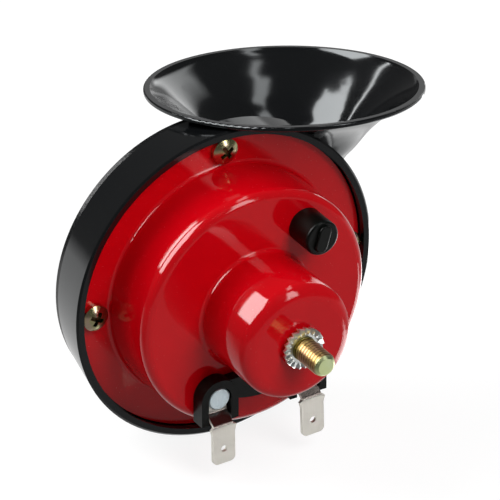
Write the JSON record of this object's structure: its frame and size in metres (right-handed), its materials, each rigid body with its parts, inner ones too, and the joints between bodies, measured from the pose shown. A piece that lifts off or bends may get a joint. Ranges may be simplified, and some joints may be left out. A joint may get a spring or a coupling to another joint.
{
  "type": "vehicle horn",
  "caption": "Electric snail horn for a vehicle: a stepped steel cover over a moulded drum whose coiled duct ends in a flared bell, held by a threaded stud.",
  "frame": {"origin": "centre of the front face of the lock washer on the mounting stud, where the vehicle's bracket sits", "axes": "-Y along the mounting stud away from the horn, +Z towards the bell's mouth, +X to the right seen from the stud side"},
  "size_m": [0.1051, 0.0998, 0.086],
  "materials": {
    "red_paint": "gloss",
    "black_moulding": "satin black",
    "black_insulator": "moulded",
    "zinc_yellow": "yellow zinc plated",
    "zinc_bright": "bright zinc plated",
    "core_steel": "yellow zinc plated",
    "tinned_brass": "tinned",
    "brass": "mill",
    "copper_wire": "enamelled copper",
    "natural_nylon": "moulded",
    "spring_steel": "rolled",
    "fibre": "pressed fibre",
    "gasket": "matt",
    "silver_contact": "turned"
  },
  "bodies": {
    "horn": {"cover": "red_paint", "core_stud": "core_steel", "lock_washer": "zinc_bright", "coil_bobbin": "natural_nylon", "coil_winding": "copper_wire", "diaphragm": "spring_steel", "gasket_front": "gasket", "gasket_rear": "gasket", "moving_contact_arm": "spring_steel", "moving_contact_point": "silver_contact", "fixed_contact_arm": "brass", "fixed_contact_point": "silver_contact", "breaker_spacer_front": "fibre", "breaker_spacer_middle": "fibre", "breaker_spacer_rear": "fibre", "lead_spacer": "fibre", "lead_tag": "brass", "terminal_left": "tinned_brass", "terminal_right": "tinned_brass", "terminal_rivet_left": "zinc_bright", "terminal_rivet_right": "zinc_bright", "terminal_insulator": "black_insulator", "adjuster_screw": "brass", "adjuster_bush": "brass", "adjuster_cap": "black_insulator", "horn_body": "black_moulding", "rear_cover": "black_moulding", "flange_screw_1": "zinc_yellow", "flange_screw_2": "zinc_yellow", "flange_screw_3": "zinc_yellow", "flange_screw_4": "zinc_yellow"},
    "armature_group": {"armature": "zinc_bright", "armature_collar": "fibre", "diaphragm_washer_front": "zinc_bright", "diaphragm_washer_rear": "zinc_bright", "armature_nut": "zinc_bright"}
  },
  "joints": [
    {"name": "diaphragm_stroke", "type": "slide", "parent": "horn", "child": "armature_group", "axis": [0, -1, 0], "range_m": [-0.0003, 0.0005], "stiffness_N_per_m": 30000, "deforming": ["diaphragm", "moving_contact_arm"]}
  ]
}
